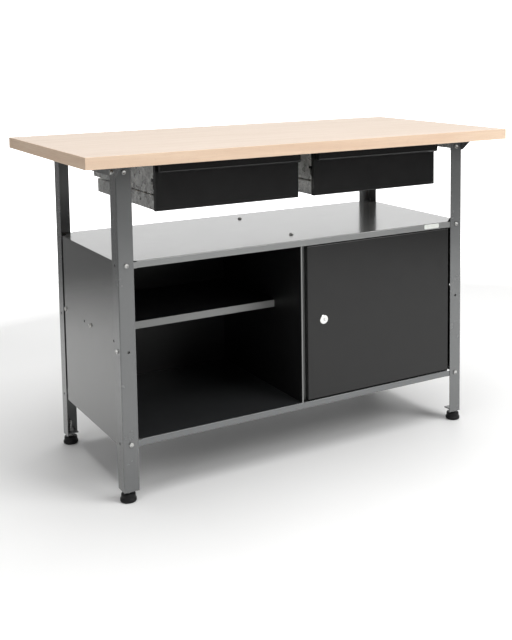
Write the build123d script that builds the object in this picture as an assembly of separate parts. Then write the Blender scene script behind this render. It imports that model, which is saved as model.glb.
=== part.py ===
from build123d import *
import math
import os

# Workbench with two drawers over an open shelf and a cupboard.
# Millimetres. Origin on the floor under the middle of the bench, +X right, +Z up,
# the drawers and the door face -Y.

# Whole bench
BENCH_LENGTH = 1200.0
BENCH_DEPTH = 600.0
BENCH_HEIGHT = 830.0

# Tabletop
TOP_THICKNESS = 28.0
EDGE_BAND = 1.0
EDGE_ROUND = 0.8
OVERHANG_X = 95.0
OVERHANG_Y = 75.0

# Legs and top frame
LEG_FLANGE = 38.0
LEG_WALL = 1.5
LEG_CLEAR_OF_FLOOR = 26.0
LEG_HOLE_INSET = 20.0
RAIL_HEIGHT = 30.0
RAIL_FLANGE = 30.0
REAR_RAIL_FLANGE = 20.0
CROSSPIECE_OVERRUN_LOW = 3.0
CROSSPIECE_OVERRUN_HIGH = 40.0
RAIL_BOLT_DROP = 20.0
SCREW_FROM_LEG_BOLT = 55.0

# Cabinet
SHEET = 1.0
CABINET_CLEAR_OF_FLOOR = 132.0
TRAY_FACE = 17.0
TRAY_RETURN = 18.0
CORNER_CUT = 45.0
SHELF_SPACE = 110.0
PANEL_FOLD = 30.0
PANEL_BOLT_RISE = 230.0
SPARE_HOLE_SETBACK = 25.0
SPARE_HOLE_PITCH = 47.0
BACK_FLANGE = 20.0
HOLE_ON_FLANGE = 0.6

# Divider and inner shelf
DIVIDER_X = -17.6
DIVIDER_STRIP = 5.0
STRIKE_WIDTH = 22.6
DIVIDER_FLANGE = 30.0
TRAY_BOLT_SETBACK = 60.0
SHELF_RISE = 242.0
SHELF_FACE = 20.0
SHELF_RETURN = 12.0
SHELF_SETBACK = 140.5
SHELF_BOLT_DROP = 10.0
SHELF_BOLT_SETBACK = 62.0

# Door and lock
DOOR_THICKNESS = 15.0
DOOR_GAP_LEFT = 14.0
DOOR_GAP_RIGHT = 6.0
DOOR_GAP_TOP = 2.0
DOOR_GAP_BOTTOM = 3.0
DOOR_FLANGE = 12.0
HINGE_INSET = 13.0
PIN_RADIUS = 3.0
PIN_LENGTH = 16.0
PIN_IN_DOOR = 10.0
BUSH_SEAT = 2.0
BUSH_COLLAR = 4.0
LOCK_INSET = 48.6
LOCK_RISE = 207.0
LOCK_BARREL_RADIUS = 9.0
LOCK_BEZEL_RADIUS = 12.0
LOCK_BEZEL = 2.0
LOCK_NUT_ACROSS = 24.0
LOCK_NUT_HEIGHT = 3.0
PLUG_RADIUS = 6.5
PLUG_STANDS_OUT = 1.4
KEY_SLOT = (1.6, 8.0, 8.0)
CAM_SQUARE = 6.0
CAM_SCREW_RADIUS = 1.5
CAM_SCREW_LENGTH = 6.0
CAM_SCREW_HEAD = (5.0, 2.0)
CAM_LENGTH = 44.0
CAM_WIDTH = 14.0
CAM_THICKNESS = 2.0

# Drawers
DRAWER_SIDE_GAP = 59.0
DRAWER_GAP = 46.0
DRAWER_TOP_GAP = 5.0
DRAWER_FRONT_HEIGHT = 113.0
DRAWER_FRONT_DEPTH = 13.0
DRAWER_SETBACK_REAR = 30.0
DRAWER_TUB_HEIGHT = 36.0
DRAWER_WALL_TOP = 101.0
GRIP_REACH = 20.0
GRIP_DROP = 22.0
GRIP_INSET = 4.0
GRIP_CURL = (4.0, 3.0)
GRIP_BEND = 1.5
FRONT_TAB_WIDTH = 42.0
FRONT_TAB_LOW = 6.0
FRONT_TAB_HIGH = 20.0
FRONT_SCREW_INSET = 13.0
FRONT_SCREW_RISES = (21.0, 81.0)
FINGER_LENGTH = 12.0
FINGER_HEIGHT = 7.0
FINGER_RISE = 68.0
SIDE_HOLE_RADIUS = 3.0
SIDE_HOLE_SETBACK = 88.0
SIDE_HOLE_RISE = 18.0
CASING_SHEET = 1.2
CASING_INSET = 3.0
CASING_GAP_FRONT = 1.0
CASING_GAP_REAR = 1.5
CASING_FLANGE = 20.0
CASING_SCREW_INSET = 50.0
CASING_FOLD = 7.0
CASING_TRACK = 11.5
RUNNER_SPACE = 11.8
RUNNER_REACH = 10.0
TUB_CLEARANCE = 2.0
ROLLER_RADIUS = 7.7
ROLLER_WIDTH = 8.0
ROLLER_SETBACK_FRONT = 17.0
ROLLER_SETBACK_REAR = 14.0
ROLLER_ROUND = 0.6
AXLE_RADIUS = 2.5
AXLE_HEAD_RADIUS = 4.0
AXLE_HEAD = 0.8

# Levelling feet
FOOT_INSET = 15.0
PAD_RADIUS = 19.5
PAD_WAIST = 1.5
PAD_HEIGHT = 20.0
PAD_SOCKET = 6.0
STEM_RADIUS = 4.0
STEM_TOP = 62.0
STEM_HEXAGON = 4.0
STEM_ACROSS_FLATS = 13.0
STEM_NUT_HEIGHT = 6.5
FOOT_BRACKET = 30.0
FOOT_BRACKET_RISE = 4.0
FOOT_BRACKET_THICKNESS = 3.0

# Fasteners
BOLT_RADIUS = 3.0
BOLT_HOLE_RADIUS = 3.4
BOLT_ACROSS_FLATS = 10.0
BOLT_HEAD = 4.0
BOLT_LENGTH = 14.0
NUT_HEIGHT = 5.0
SCREW_RADIUS = 2.0
SCREW_HEAD_RADIUS = 4.0
SCREW_HEAD = 2.0
SCREW_GRIP = 16.0

# Clearances
BEND = 1.0
RUNNING = 0.05
ROLL_GAP = 0.3
ROLLER_SIDE_GAP = 1.2
ROLLER_END_GAP = 0.6
CAM_GAP = 0.5
DOOR_FLOAT = 0.4
DOOR_STOP_GAP = 1.5
PAD_GAP = 0.3
SEAM = 0.5
PAST = 1.0
THROUGH = 4.0

# Derived places
TOP_UNDERSIDE = BENCH_HEIGHT - TOP_THICKNESS
LEG_X = BENCH_LENGTH / 2 - OVERHANG_X
LEG_Y = BENCH_DEPTH / 2 - OVERHANG_Y
HOLE_X = LEG_X - LEG_HOLE_INSET
HOLE_Y = LEG_Y - LEG_HOLE_INSET
PANEL_X = LEG_X - LEG_WALL
TRAY_X = PANEL_X - SHEET
TRAY_Y = LEG_Y - LEG_WALL
DRAWER_BOTTOM = TOP_UNDERSIDE - DRAWER_TOP_GAP - DRAWER_FRONT_HEIGHT
CABINET_TOP = DRAWER_BOTTOM - SHELF_SPACE
FLOOR_TOP = CABINET_CLEAR_OF_FLOOR + TRAY_FACE
BAY_TOP = CABINET_TOP - SHEET
RAIL_BOTTOM = TOP_UNDERSIDE - RAIL_HEIGHT
RAIL_BOLT_Z = TOP_UNDERSIDE - RAIL_BOLT_DROP
TRAY_BOLT_ZS = (CABINET_CLEAR_OF_FLOOR + TRAY_FACE / 2, CABINET_TOP - TRAY_FACE / 2)
PANEL_BOLT_Z = CABINET_CLEAR_OF_FLOOR + PANEL_BOLT_RISE
SHELF_TOP = FLOOR_TOP + SHELF_RISE
TRAY_BOLT_Y = HOLE_Y - TRAY_BOLT_SETBACK
DIVIDER_RECESS = DOOR_THICKNESS + DOOR_STOP_GAP
SHELF_BOLT_Z = SHELF_TOP - SHELF_BOLT_DROP
BACK_Y = TRAY_Y - SHEET
BACK_CORNER_Y = LEG_Y - LEG_WALL - CORNER_CUT
BACK_BOLT_Y = BACK_CORNER_Y - BACK_FLANGE / 2 + SHEET
DOOR_FRONT = -TRAY_Y
SHELF_FRONT = DOOR_FRONT + SHELF_SETBACK
SHELF_BOLT_Y = SHELF_FRONT + SHELF_BOLT_SETBACK
SPARE_HOLE_YS = (SPARE_HOLE_SETBACK - HOLE_Y, SHELF_BOLT_Y + SPARE_HOLE_PITCH)
DOOR_LEFT = DIVIDER_X + DIVIDER_STRIP + DOOR_GAP_LEFT
DOOR_RIGHT = LEG_X - LEG_FLANGE - DOOR_GAP_RIGHT
DOOR_BOTTOM = FLOOR_TOP + DOOR_GAP_BOTTOM
DOOR_TOP = CABINET_TOP - TRAY_FACE - DOOR_GAP_TOP
HINGE_X = DOOR_RIGHT - HINGE_INSET
HINGE_Y = DOOR_FRONT + DOOR_THICKNESS / 2
LOCK_X = DOOR_LEFT + LOCK_INSET
LOCK_Z = DOOR_BOTTOM + LOCK_RISE
STRIKE_BACK = DOOR_FRONT + DIVIDER_RECESS + SHEET
CAM_FRONT = STRIKE_BACK + CAM_GAP
DRAWER_FRONT = -LEG_Y
BOX_FRONT = DRAWER_FRONT + DRAWER_FRONT_DEPTH
CASING_FRONT = BOX_FRONT + CASING_GAP_FRONT
CASING_REAR = LEG_Y - LEG_WALL - REAR_RAIL_FLANGE - CASING_GAP_REAR
BOX_REAR = CASING_REAR - DRAWER_SETBACK_REAR
DRAWER_WIDTH = LEG_X - LEG_FLANGE - DRAWER_SIDE_GAP - DRAWER_GAP / 2
DRAWER_CENTRE = (DRAWER_GAP + DRAWER_WIDTH) / 2
CASING_WEBS = (
    DRAWER_CENTRE - DRAWER_WIDTH / 2 + CASING_INSET,
    DRAWER_CENTRE + DRAWER_WIDTH / 2 - CASING_INSET,
)
TUB_TOP = DRAWER_BOTTOM + DRAWER_TUB_HEIGHT
TRACK_BOTTOM = TUB_TOP + TUB_CLEARANCE
TRACK_TOP = TRACK_BOTTOM + CASING_SHEET
ROLLER_Z = TRACK_TOP + ROLL_GAP + ROLLER_RADIUS
RUNNER_Z = ROLLER_Z + ROLLER_RADIUS + ROLL_GAP
CASING_ROLLER_Y = BOX_FRONT + ROLLER_SETBACK_FRONT
DRAWER_ROLLER_Y = BOX_REAR - ROLLER_SETBACK_REAR
FOOT_X = LEG_X - FOOT_INSET
FOOT_Y = LEG_Y - FOOT_INSET
BRACKET_BOTTOM = LEG_CLEAR_OF_FLOOR + FOOT_BRACKET_RISE


# ---------------------------------------------------------------- building blocks


def block(x0, x1, y0, y1, z0, z1):
    """Box between two corners, in any order."""
    size = (abs(x1 - x0), abs(y1 - y0), abs(z1 - z0))
    return Pos((x0 + x1) / 2, (y0 + y1) / 2, (z0 + z1) / 2) * Box(*size)


def rod(radius, start, axis, length):
    """Cylinder that starts at a point and runs along an axis."""
    return extrude(Plane(origin=start, z_dir=axis) * Circle(radius), length)


def hexagon(across_flats, start, axis, length):
    """Hexagonal prism that starts at a point and runs along an axis."""
    corner_radius = across_flats / math.sqrt(3)
    return extrude(Plane(origin=start, z_dir=axis) * RegularPolygon(corner_radius, 6), length)


def ring(outer, inner, start, axis, length):
    return rod(outer, start, axis, length) - rod(inner, start, axis, length)


def polygon(points):
    return make_face(Polyline(*points, close=True))


def along_x(face, x0, x1):
    """Section drawn in (Y, Z), extruded from x0 to x1."""
    plane = Plane(origin=(x0, 0, 0), x_dir=(0, 1, 0), z_dir=(1, 0, 0))
    return extrude(plane * face, x1 - x0, dir=(1, 0, 0))


def along_y(face, y0, y1):
    """Section drawn in (X, Z), extruded from y0 to y1."""
    plane = Plane(origin=(0, y0, 0), x_dir=(1, 0, 0), z_dir=(0, -1, 0))
    return extrude(plane * face, y1 - y0, dir=(0, 1, 0))


def along_z(face, z0, z1):
    """Section drawn in (X, Y), extruded from z0 to z1."""
    return extrude(Pos(0, 0, z0) * face, z1 - z0, dir=(0, 0, 1))


def folded(skin, thickness, bend=BEND):
    """Section of a folded sheet. The skin is one face of the sheet, and the other lies to its
    left, or to its right where the thickness is negative. Inner bends have the bend radius."""
    points = [Vector(*p) for p in skin]
    normals = []
    for a, b in zip(points, points[1:]):
        step = (b - a).normalized()
        normals.append(Vector(-step.Y, step.X))
    shifts = [normals[0]]
    for n1, n2 in zip(normals, normals[1:]):
        shifts.append((n1 + n2) * (1 / (1 + n1.dot(n2))))
    shifts.append(normals[-1])
    far = [p + s * thickness for p, s in zip(points, shifts)]
    face = polygon([(p.X, p.Y) for p in points + far[::-1]]).face()
    for i in range(1, len(points) - 1):
        turn = normals[i - 1].cross(normals[i]).Z * thickness
        inside, outside = (far[i], points[i]) if turn > 0 else (points[i], far[i])
        for corner, radius in ((inside, bend), (outside, bend + abs(thickness))):
            vertex = face.vertices().sort_by_distance(corner)[0]
            face = face.fillet_2d(radius, [vertex])
    return face


def group(shapes):
    """Separate solids that share a node."""
    return Compound(children=[solid for shape in shapes for solid in shape.solids()])


def flip_x(shape):
    return mirror(shape, about=Plane.YZ)


def flip_y(shape):
    return mirror(shape, about=Plane.XZ)


def hex_bolt(seat, axis):
    """Bolt whose head stands on the seat and whose shank runs along the axis."""
    back = Vector(*axis) * -1
    return hexagon(BOLT_ACROSS_FLATS, seat, back, BOLT_HEAD) + rod(BOLT_RADIUS, seat, axis, BOLT_LENGTH)


def hex_nut(seat, axis, across=BOLT_ACROSS_FLATS, radius=BOLT_RADIUS, height=NUT_HEIGHT):
    return hexagon(across, seat, axis, height) - rod(radius + RUNNING, seat, axis, height)


def pan_screw(seat, axis, grip, depth):
    """Screw with its head under the seat; it crosses the grip and goes depth into what is behind."""
    back = Vector(*axis) * -1
    head = rod(SCREW_HEAD_RADIUS, seat, back, SCREW_HEAD)
    head = fillet(head.edges().sort_by(lambda e: (e.center() - Vector(*seat)).dot(back))[-1:], 1.2)
    return head + rod(SCREW_RADIUS, seat, axis, grip + depth)


# ---------------------------------------------------------------- tabletop

def screw_places():
    """Wood screws into the tabletop: (x, y, height of the seat)."""
    places = []
    for side in (-1, 1):
        rail_x = side * (LEG_X - RAIL_FLANGE / 2)
        reach = HOLE_Y - SCREW_FROM_LEG_BOLT
        places += [(rail_x, y, TOP_UNDERSIDE - LEG_WALL) for y in (-reach, 0, reach)]
        places.append((rail_x, -HOLE_Y, TOP_UNDERSIDE - 2 * LEG_WALL))
        for x in CASING_WEBS:
            inward = 1 if x < DRAWER_CENTRE else -1
            screw_x = side * (x + inward * CASING_FLANGE * HOLE_ON_FLANGE)
            first = CASING_FRONT + CASING_SCREW_INSET
            last = CASING_REAR - CASING_SCREW_INSET
            rows = (first, (first + last) / 2, last)
            places += [(screw_x, y, TOP_UNDERSIDE - CASING_SHEET) for y in rows]
    for x in (-BENCH_LENGTH / 4, 0, BENCH_LENGTH / 4):
        places.append((x, LEG_Y - LEG_WALL - REAR_RAIL_FLANGE / 2, TOP_UNDERSIDE - LEG_WALL))
    return places


def tabletop():
    x = BENCH_LENGTH / 2 - EDGE_BAND
    y = BENCH_DEPTH / 2 - EDGE_BAND
    board = block(-x, x, -y, y, TOP_UNDERSIDE, BENCH_HEIGHT)
    for px, py, seat in screw_places():
        board -= rod(SCREW_RADIUS, (px, py, TOP_UNDERSIDE), (0, 0, 1), seat + SCREW_GRIP - TOP_UNDERSIDE)
    return board


def edge_bands():
    x = BENCH_LENGTH / 2
    y = BENCH_DEPTH / 2
    long_band = block(-x, x, -y, -y + EDGE_BAND, TOP_UNDERSIDE, BENCH_HEIGHT)
    long_band = fillet(long_band.faces().sort_by(Axis.Y)[0].edges(), EDGE_ROUND)
    short_band = block(x - EDGE_BAND, x, -y + EDGE_BAND, y - EDGE_BAND, TOP_UNDERSIDE, BENCH_HEIGHT)
    outer_edges = short_band.faces().sort_by(Axis.X)[-1].edges().filter_by(Axis.Y)
    short_band = fillet(outer_edges, EDGE_ROUND)
    return group([long_band, flip_y(long_band), short_band, flip_x(short_band)])


def tabletop_screws():
    return group([pan_screw(place, (0, 0, 1), 0, SCREW_GRIP) for place in screw_places()])


# ---------------------------------------------------------------- legs and top frame

def leg():
    """Front right leg: an angle with its corner outward and a row of holes in each flange."""
    x = LEG_X
    y = -LEG_Y
    skin = [(x - LEG_FLANGE, y), (x, y), (x, y + LEG_FLANGE)]
    top = TOP_UNDERSIDE - LEG_WALL - BEND
    angle = along_z(folded(skin, LEG_WALL, LEG_WALL), LEG_CLEAR_OF_FLOOR, top)
    for z in (*TRAY_BOLT_ZS, PANEL_BOLT_Z, RAIL_BOLT_Z):
        angle -= rod(BOLT_HOLE_RADIUS, (HOLE_X, y - PAST, z), (0, 1, 0), THROUGH)
        angle -= rod(BOLT_HOLE_RADIUS, (x + PAST, -HOLE_Y, z), (-1, 0, 0), THROUGH)
    return angle


def crosspiece():
    """Right-hand angle under the tabletop, outside the legs, with its ends cut back underneath."""
    x = LEG_X + LEG_WALL
    low = LEG_Y + CROSSPIECE_OVERRUN_LOW
    high = LEG_Y + CROSSPIECE_OVERRUN_HIGH
    skin = [(x, RAIL_BOTTOM), (x, TOP_UNDERSIDE), (x - RAIL_FLANGE, TOP_UNDERSIDE)]
    angle = along_y(folded(skin, LEG_WALL), -high, high)
    outline = [(-low, RAIL_BOTTOM), (low, RAIL_BOTTOM), (high, TOP_UNDERSIDE), (-high, TOP_UNDERSIDE)]
    angle = angle & along_x(polygon(outline), x - RAIL_FLANGE - PAST, x + PAST)
    for side in (-1, 1):
        angle -= rod(BOLT_HOLE_RADIUS, (x + PAST, side * HOLE_Y, RAIL_BOLT_Z), (-1, 0, 0), THROUGH)
    return drill_for_screws(angle, TOP_UNDERSIDE - LEG_WALL, LEG_WALL)


def drill_for_screws(shape, z, thickness):
    box = shape.bounding_box()
    for px, py, _ in screw_places():
        if box.min.X < px < box.max.X and box.min.Y < py < box.max.Y:
            shape -= rod(SCREW_RADIUS, (px, py, z - PAST), (0, 0, 1), thickness + 2 * PAST)
    return shape


def rear_rail():
    """Angle between the rear legs; its flange lies between the crosspieces' flanges."""
    y = LEG_Y - LEG_WALL
    end = LEG_X + LEG_WALL - RAIL_FLANGE - LEG_WALL
    skin = [(y, RAIL_BOTTOM), (y, TOP_UNDERSIDE), (y - REAR_RAIL_FLANGE, TOP_UNDERSIDE)]
    angle = along_x(folded(skin, LEG_WALL), -end, end)
    for side in (-1, 1):
        tab = (side * end, side * (LEG_X - 2 * LEG_WALL))
        angle += block(*tab, y - LEG_WALL, y, RAIL_BOTTOM, TOP_UNDERSIDE - 2 * LEG_WALL)
        angle -= rod(BOLT_HOLE_RADIUS, (side * HOLE_X, y + PAST, RAIL_BOLT_Z), (0, -1, 0), THROUGH)
    return drill_for_screws(angle, TOP_UNDERSIDE - LEG_WALL, LEG_WALL)


def corner_brackets():
    """Small angles that tie the front legs to the crosspieces and the tabletop."""
    y = -LEG_Y + LEG_WALL
    top = TOP_UNDERSIDE - LEG_WALL
    skin = [(y, RAIL_BOTTOM), (y, top), (y + RAIL_FLANGE, top)]
    angle = along_x(folded(skin, -LEG_WALL), LEG_X - LEG_FLANGE, LEG_X - 2 * LEG_WALL)
    angle -= rod(BOLT_HOLE_RADIUS, (HOLE_X, y - PAST, RAIL_BOLT_Z), (0, 1, 0), THROUGH)
    angle = drill_for_screws(angle, top - LEG_WALL, LEG_WALL)
    return group([angle, flip_x(angle)])


def frame_bolt_places():
    """Seat, direction and grip of every bolt through a leg."""
    places = []
    for sx in (-1, 1):
        for sy in (-1, 1):
            inward = (0, -sy, 0)
            places.append(((sx * HOLE_X, sy * LEG_Y, RAIL_BOLT_Z), inward, 2 * LEG_WALL))
            for z in TRAY_BOLT_ZS:
                places.append(((sx * HOLE_X, sy * LEG_Y, z), inward, LEG_WALL + SHEET))
            seat = (sx * (LEG_X + LEG_WALL), sy * HOLE_Y, RAIL_BOLT_Z)
            places.append((seat, (-sx, 0, 0), 2 * LEG_WALL))
        seat = (sx * LEG_X, -HOLE_Y, PANEL_BOLT_Z)
        places.append((seat, (-sx, 0, 0), LEG_WALL + SHEET))
    return places


def cabinet_bolt_places():
    """Bolts of the divider, the inner shelf and the back panel."""
    places = []
    flange_x = DIVIDER_X + SHEET + DIVIDER_FLANGE * HOLE_ON_FLANGE
    for y in (-TRAY_BOLT_Y, TRAY_BOLT_Y):
        places.append(((flange_x, y, CABINET_TOP), (0, 0, -1), 2 * SHEET))
        places.append(((flange_x, y, FLOOR_TOP + SHEET), (0, 0, -1), 2 * SHEET))
    for sx in (-1, 1):
        places.append(((sx * PANEL_X, BACK_BOLT_Y, SHELF_BOLT_Z), (-sx, 0, 0), 2 * SHEET))
    places.append(((-PANEL_X, SHELF_BOLT_Y, SHELF_BOLT_Z), (1, 0, 0), 2 * SHEET))
    for y in (SHELF_BOLT_Y, BACK_BOLT_Y):
        places.append(((DIVIDER_X + SHEET, y, SHELF_BOLT_Z), (-1, 0, 0), 2 * SHEET))
    return places


def bolts(places):
    return group([hex_bolt(seat, axis) for seat, axis, grip in places])


def nuts(places):
    return group([hex_nut(Vector(*seat) + Vector(*axis) * grip, axis) for seat, axis, grip in places])


# ---------------------------------------------------------------- cabinet

def tray(top):
    """Shelf with all four corners cut off, its faces turned down and a return along the front.
    Past the cut corners the front and back faces run on as tabs behind the leg flanges."""
    bottom = top - TRAY_FACE
    straight = TRAY_X - CORNER_CUT
    lip = TRAY_Y - TRAY_RETURN
    skin = [(-lip, bottom), (-TRAY_Y, bottom), (-TRAY_Y, top), (TRAY_Y, top), (TRAY_Y, bottom)]
    shelf = along_x(folded(skin, -SHEET), -straight, straight)
    side_y = TRAY_Y - CORNER_CUT
    for side in (-1, 1):
        corner = [
            (side * straight, -TRAY_Y),
            (side * TRAY_X, -side_y),
            (side * TRAY_X, side_y),
            (side * straight, TRAY_Y),
        ]
        shelf += along_z(polygon(corner), top - SHEET, top)
        shelf += block(side * (TRAY_X - SHEET), side * TRAY_X, -side_y, side_y, bottom, top)
        for end in (-1, 1):
            tab_x = (side * straight, side * (TRAY_X - SEAM))
            shelf += block(*tab_x, end * TRAY_Y, end * (TRAY_Y - SHEET), bottom, top - 2 * SHEET)
            hole = (side * HOLE_X, end * (TRAY_Y + PAST), bottom + TRAY_FACE / 2)
            shelf -= rod(BOLT_HOLE_RADIUS, hole, (0, -end, 0), THROUGH)
    for y in (-TRAY_BOLT_Y, TRAY_BOLT_Y):
        hole = (DIVIDER_X + SHEET + DIVIDER_FLANGE * HOLE_ON_FLANGE, y, top + PAST)
        shelf -= rod(BOLT_HOLE_RADIUS, hole, (0, 0, -1), THROUGH)
    return shelf


def top_tray():
    """The hinge bush sits in the front return."""
    hole = (HINGE_X, HINGE_Y, CABINET_TOP - TRAY_FACE - PAST)
    return tray(CABINET_TOP) - rod(PIN_RADIUS + BUSH_SEAT, hole, (0, 0, 1), THROUGH)


def bottom_tray():
    """The hinge bush sits in the shelf itself."""
    hole = (HINGE_X, HINGE_Y, FLOOR_TOP + PAST)
    return tray(FLOOR_TOP) - rod(PIN_RADIUS + BUSH_SEAT, hole, (0, 0, -1), THROUGH)


def side_panel():
    """Right-hand side: a flat sheet with a stiffening fold behind the front leg's flange."""
    front = -TRAY_Y + 2 * SHEET
    rear = BACK_CORNER_Y - SEAM
    panel = block(PANEL_X - SHEET, PANEL_X, front, rear, CABINET_CLEAR_OF_FLOOR, CABINET_TOP)
    fold_z = (FLOOR_TOP + SHEET, CABINET_TOP - TRAY_FACE - SHEET)
    panel += block(PANEL_X - PANEL_FOLD, PANEL_X, front, front + SHEET, *fold_z)
    holes = [(-HOLE_Y, PANEL_BOLT_Z)]
    holes += [(y, SHELF_BOLT_Z) for y in (*SPARE_HOLE_YS, SHELF_BOLT_Y, BACK_BOLT_Y)]
    for y, z in holes:
        panel -= rod(BOLT_HOLE_RADIUS, (PANEL_X + PAST, y, z), (-1, 0, 0), THROUGH)
    return panel


def back_panel():
    """Back with angled wings round the rear legs and a flange along each side panel, which ends
    below the top tray's side face."""
    start = BACK_CORNER_Y - SEAM
    cut_x = TRAY_X - (BACK_Y - start)
    skin = [(TRAY_X, start - BACK_FLANGE), (TRAY_X, start), (cut_x, BACK_Y)]
    skin += [(-x, y) for x, y in skin[::-1]]
    panel = along_z(folded(skin, SHEET), FLOOR_TOP, BAY_TOP - BEND)
    for side in (-1, 1):
        notch_x = (side * (TRAY_X - 2 * SHEET), side * (TRAY_X + PAST))
        notch_y = (start - BACK_FLANGE - PAST, start + 2 * SHEET)
        panel -= block(*notch_x, *notch_y, CABINET_TOP - TRAY_FACE, BAY_TOP)
        hole = (side * (TRAY_X + PAST), BACK_BOLT_Y, SHELF_BOLT_Z)
        panel -= rod(BOLT_HOLE_RADIUS, hole, (-side, 0, 0), THROUGH)
    return panel


def divider():
    """Partition with a hollow front post, whose last flange is the door's stop and the lock's strike."""
    left = DIVIDER_X
    post = left + DIVIDER_STRIP
    strike_y = DOOR_FRONT + DIVIDER_RECESS
    rear = BACK_Y - SHEET
    skin = [(left, rear), (left, DOOR_FRONT), (post, DOOR_FRONT), (post, strike_y)]
    skin.append((post + STRIKE_WIDTH, strike_y))
    wall = along_z(folded(skin, SHEET), FLOOR_TOP, BAY_TOP)
    post_back = DOOR_FRONT + TRAY_RETURN + SHEET
    post_top = CABINET_TOP - TRAY_FACE
    cut_x = (left - PAST, post + STRIKE_WIDTH + PAST)
    wall -= block(*cut_x, DOOR_FRONT - PAST, post_back, post_top, BAY_TOP + PAST)
    flange = (left + SHEET / 2, left + SHEET + DIVIDER_FLANGE, post_back + 5 * SHEET, rear - 5 * SHEET)
    wall += block(*flange, FLOOR_TOP, FLOOR_TOP + SHEET)
    wall += block(*flange, BAY_TOP - SHEET, BAY_TOP)
    for y in (-TRAY_BOLT_Y, TRAY_BOLT_Y):
        for z in (FLOOR_TOP - PAST, BAY_TOP - SHEET - PAST):
            hole = (left + SHEET + DIVIDER_FLANGE * HOLE_ON_FLANGE, y, z)
            wall -= rod(BOLT_HOLE_RADIUS, hole, (0, 0, 1), THROUGH)
    for y in (SHELF_BOLT_Y, BACK_BOLT_Y):
        wall -= rod(BOLT_HOLE_RADIUS, (left - PAST, y, SHELF_BOLT_Z), (1, 0, 0), THROUGH)
    return wall


def inner_shelf():
    """Shelf of the open bay, between the left panel and the divider, clear of the back's wing."""
    rear = BACK_Y - SHEET
    low = SHELF_TOP - SHELF_FACE
    x0 = -TRAY_X
    x1 = DIVIDER_X
    skin = [(SHELF_FRONT + SHELF_RETURN, low), (SHELF_FRONT, low), (SHELF_FRONT, SHELF_TOP)]
    skin += [(rear, SHELF_TOP), (rear, low)]
    shelf = along_x(folded(skin, -SHEET), x0, x1)
    flange_end = BACK_CORNER_Y - BACK_FLANGE - 2 * SHEET
    shelf += block(x0, x0 + SHEET, SHELF_FRONT + 2 * SHEET, flange_end, low, SHELF_TOP - SHEET)
    shelf += block(x1 - SHEET, x1, SHELF_FRONT + 2 * SHEET, rear - 2 * SHEET, low, SHELF_TOP - SHEET)
    wing = BACK_CORNER_Y - SEAM - 3 * SHEET
    corner = [(x0 - PAST, flange_end), (x0 + 2 * SHEET, flange_end), (x0 + 2 * SHEET, wing)]
    reach = BACK_Y - wing + PAST
    corner += [(x0 + 2 * SHEET + reach, wing + reach), (x0 - PAST, wing + reach)]
    shelf -= along_z(polygon(corner), low - PAST, SHELF_TOP + PAST)
    shelf -= rod(BOLT_HOLE_RADIUS, (x0 - PAST, SHELF_BOLT_Y, SHELF_BOLT_Z), (1, 0, 0), THROUGH)
    for y in (SHELF_BOLT_Y, BACK_BOLT_Y):
        shelf -= rod(BOLT_HOLE_RADIUS, (x1 + PAST, y, SHELF_BOLT_Z), (-1, 0, 0), THROUGH)
    return shelf


# ---------------------------------------------------------------- door and lock

def door():
    """Folded tray, open at the back but for a narrow flange all round."""
    rear = DOOR_FRONT + DOOR_THICKNESS
    leaf = block(DOOR_LEFT, DOOR_RIGHT, DOOR_FRONT, rear, DOOR_BOTTOM, DOOR_TOP)
    leaf = fillet(leaf.faces().sort_by(Axis.Y)[0].edges(), 2 * BEND)
    inside_x = (DOOR_LEFT + SHEET, DOOR_RIGHT - SHEET)
    inside_z = (DOOR_BOTTOM + SHEET, DOOR_TOP - SHEET)
    leaf -= block(*inside_x, DOOR_FRONT + SHEET, rear - SHEET, *inside_z)
    open_x = (DOOR_LEFT + DOOR_FLANGE, DOOR_RIGHT - DOOR_FLANGE)
    open_z = (DOOR_BOTTOM + DOOR_FLANGE, DOOR_TOP - DOOR_FLANGE)
    leaf -= block(*open_x, rear - SHEET - PAST, rear + PAST, *open_z)
    for start, up in ((DOOR_BOTTOM - PAST, 1), (DOOR_TOP + PAST, -1)):
        leaf -= rod(PIN_RADIUS, (HINGE_X, HINGE_Y, start), (0, 0, up), THROUGH)
    return leaf - rod(LOCK_BARREL_RADIUS, (LOCK_X, DOOR_FRONT - PAST, LOCK_Z), (0, 1, 0), THROUGH)


def hinge_pins():
    """Pins fixed in the door's top and bottom edges."""
    top = rod(PIN_RADIUS, (HINGE_X, HINGE_Y, DOOR_TOP - PIN_IN_DOOR), (0, 0, 1), PIN_LENGTH)
    bottom = rod(PIN_RADIUS, (HINGE_X, HINGE_Y, DOOR_BOTTOM + PIN_IN_DOOR), (0, 0, -1), PIN_LENGTH)
    return group([top, bottom])


def hinge_bushes():
    """Collared bushes in the trays; the collars keep the door off the sheet."""
    bore = PIN_RADIUS + RUNNING
    collar = PIN_RADIUS + BUSH_COLLAR
    seat = PIN_RADIUS + BUSH_SEAT
    top_z = CABINET_TOP - TRAY_FACE
    top = ring(collar, bore, (HINGE_X, HINGE_Y, top_z), (0, 0, -1), DOOR_GAP_TOP - DOOR_FLOAT)
    top += ring(seat, bore, (HINGE_X, HINGE_Y, top_z), (0, 0, 1), 2 * SHEET)
    bottom = ring(collar, bore, (HINGE_X, HINGE_Y, FLOOR_TOP), (0, 0, 1), DOOR_GAP_BOTTOM - DOOR_FLOAT)
    bottom += ring(seat, bore, (HINGE_X, HINGE_Y, FLOOR_TOP), (0, 0, -1), 2 * SHEET)
    return group([top, bottom])


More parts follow.
